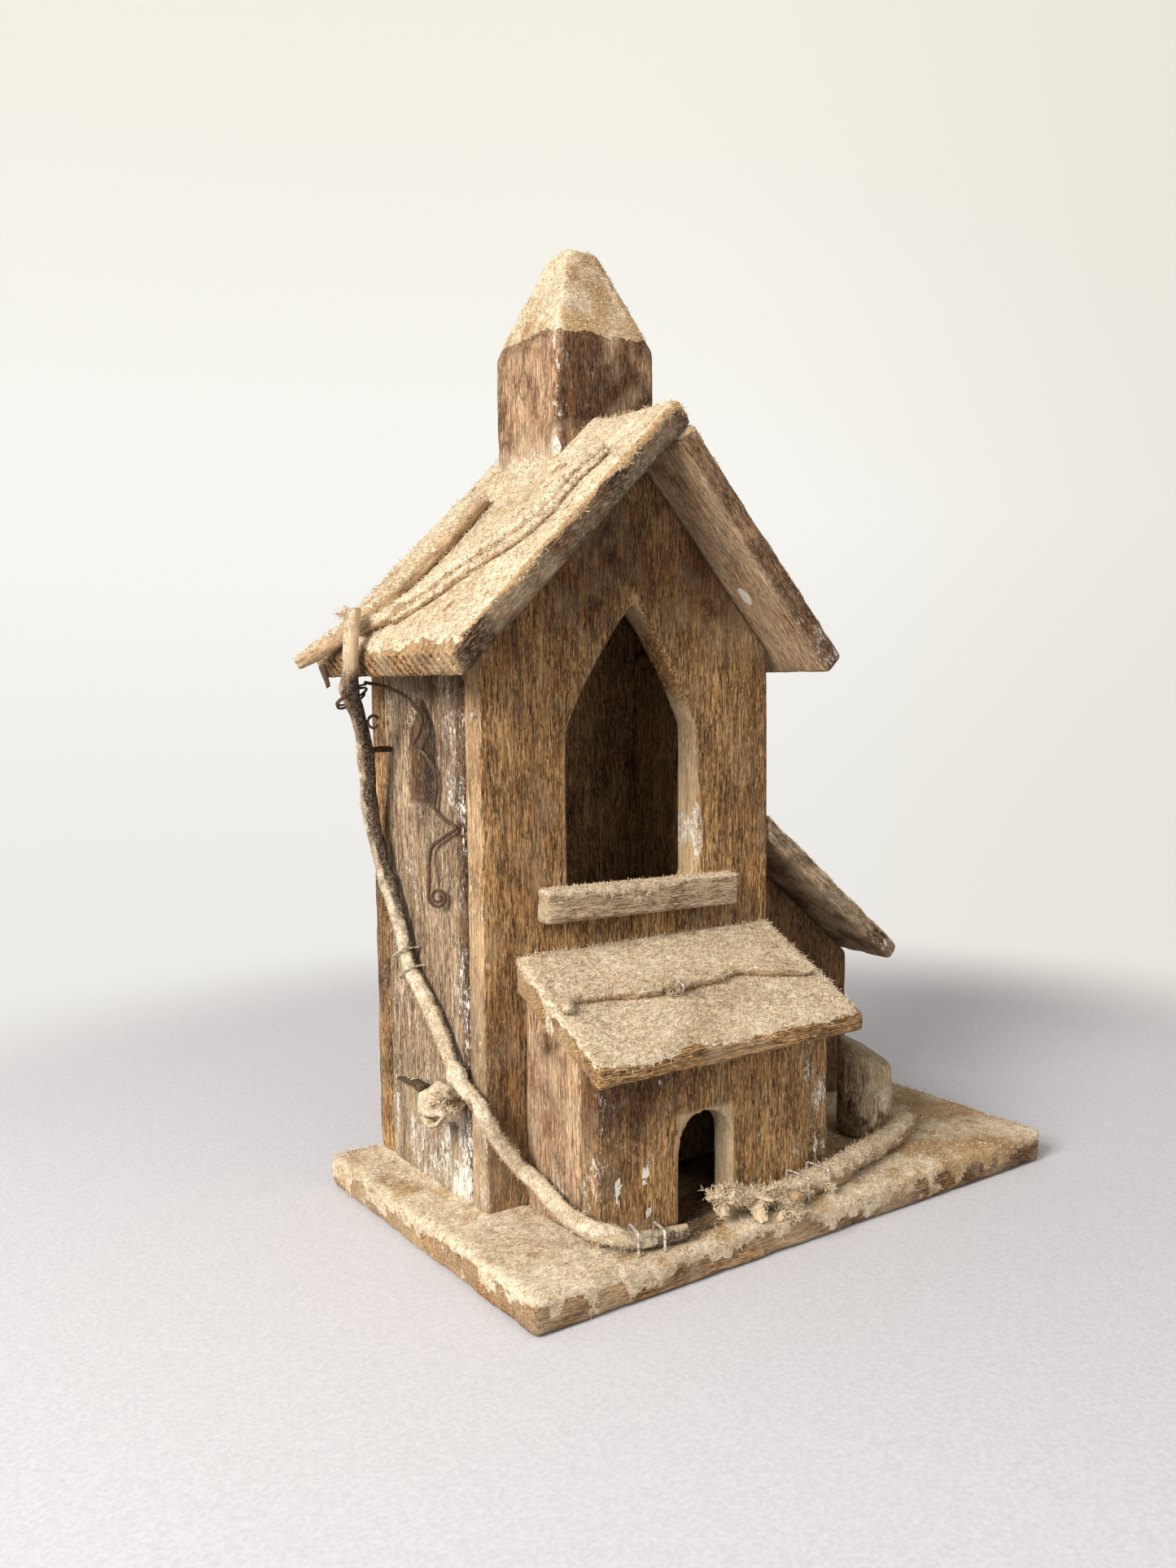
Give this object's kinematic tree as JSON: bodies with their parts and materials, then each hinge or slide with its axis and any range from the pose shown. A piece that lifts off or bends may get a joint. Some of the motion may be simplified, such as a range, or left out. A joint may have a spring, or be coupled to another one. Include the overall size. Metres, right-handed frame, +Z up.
{
  "type": "birdhouse",
  "caption": "Rustic church-shaped wooden birdhouse: gabled tower, steeple block, pointed window, porch with arched door, side annex, dried vine stems.",
  "frame": {"origin": "middle of the base board's underside", "axes": "+Z up, the front with the window and the porch faces -Y, +X is to the right seen from the front"},
  "size_m": [0.2008, 0.1148, 0.276],
  "materials": {
    "brown_wood": "rough-sawn, weathered brown with paint flecks",
    "grey_wood": "rough-sawn, weathered grey-brown with whitewash traces",
    "dusty_wood": "rough wood under a felt of light tan sawdust fibres",
    "bark": "dry bark, matt",
    "pale_stem": "dry pale stem with clinging fibres, matt",
    "steel_wire": "plain steel wire"
  },
  "bodies": {
    "root": {"base_board": "dusty_wood", "front_panel": "brown_wood", "back_panel": "grey_wood", "left_side_wall": "grey_wood", "right_side_wall": "brown_wood", "left_roof_board": "dusty_wood", "right_roof_board": "brown_wood", "steeple_block": "grey_wood", "perch_bar": "dusty_wood", "porch_front": "brown_wood", "porch_left_wall": "brown_wood", "porch_right_wall": "brown_wood", "porch_roof_board": "dusty_wood", "annex_front_wall": "brown_wood", "annex_side_wall": "brown_wood", "annex_back_wall": "grey_wood", "annex_roof_board": "grey_wood", "log_stump": "bark", "main_vine": "bark", "vine_knot": "pale_stem", "vine_side_shoot": "bark", "vine_peg": "bark", "tendril": "bark", "eave_coil": "bark", "small_curl": "bark", "hanging_shoot": "bark", "front_roof_twig": "pale_stem", "rear_roof_twig": "pale_stem", "porch_twig_left": "pale_stem", "porch_twig_right": "pale_stem", "base_branch": "pale_stem", "branch_stub": "pale_stem", "corner_brad": "steel_wire", "vine_staple_1": "steel_wire", "vine_staple_2": "steel_wire", "vine_staple_3": "steel_wire", "vine_staple_4": "steel_wire", "branch_staple_1": "steel_wire", "branch_staple_2": "steel_wire", "porch_staple": "steel_wire"}
  },
  "joints": []
}
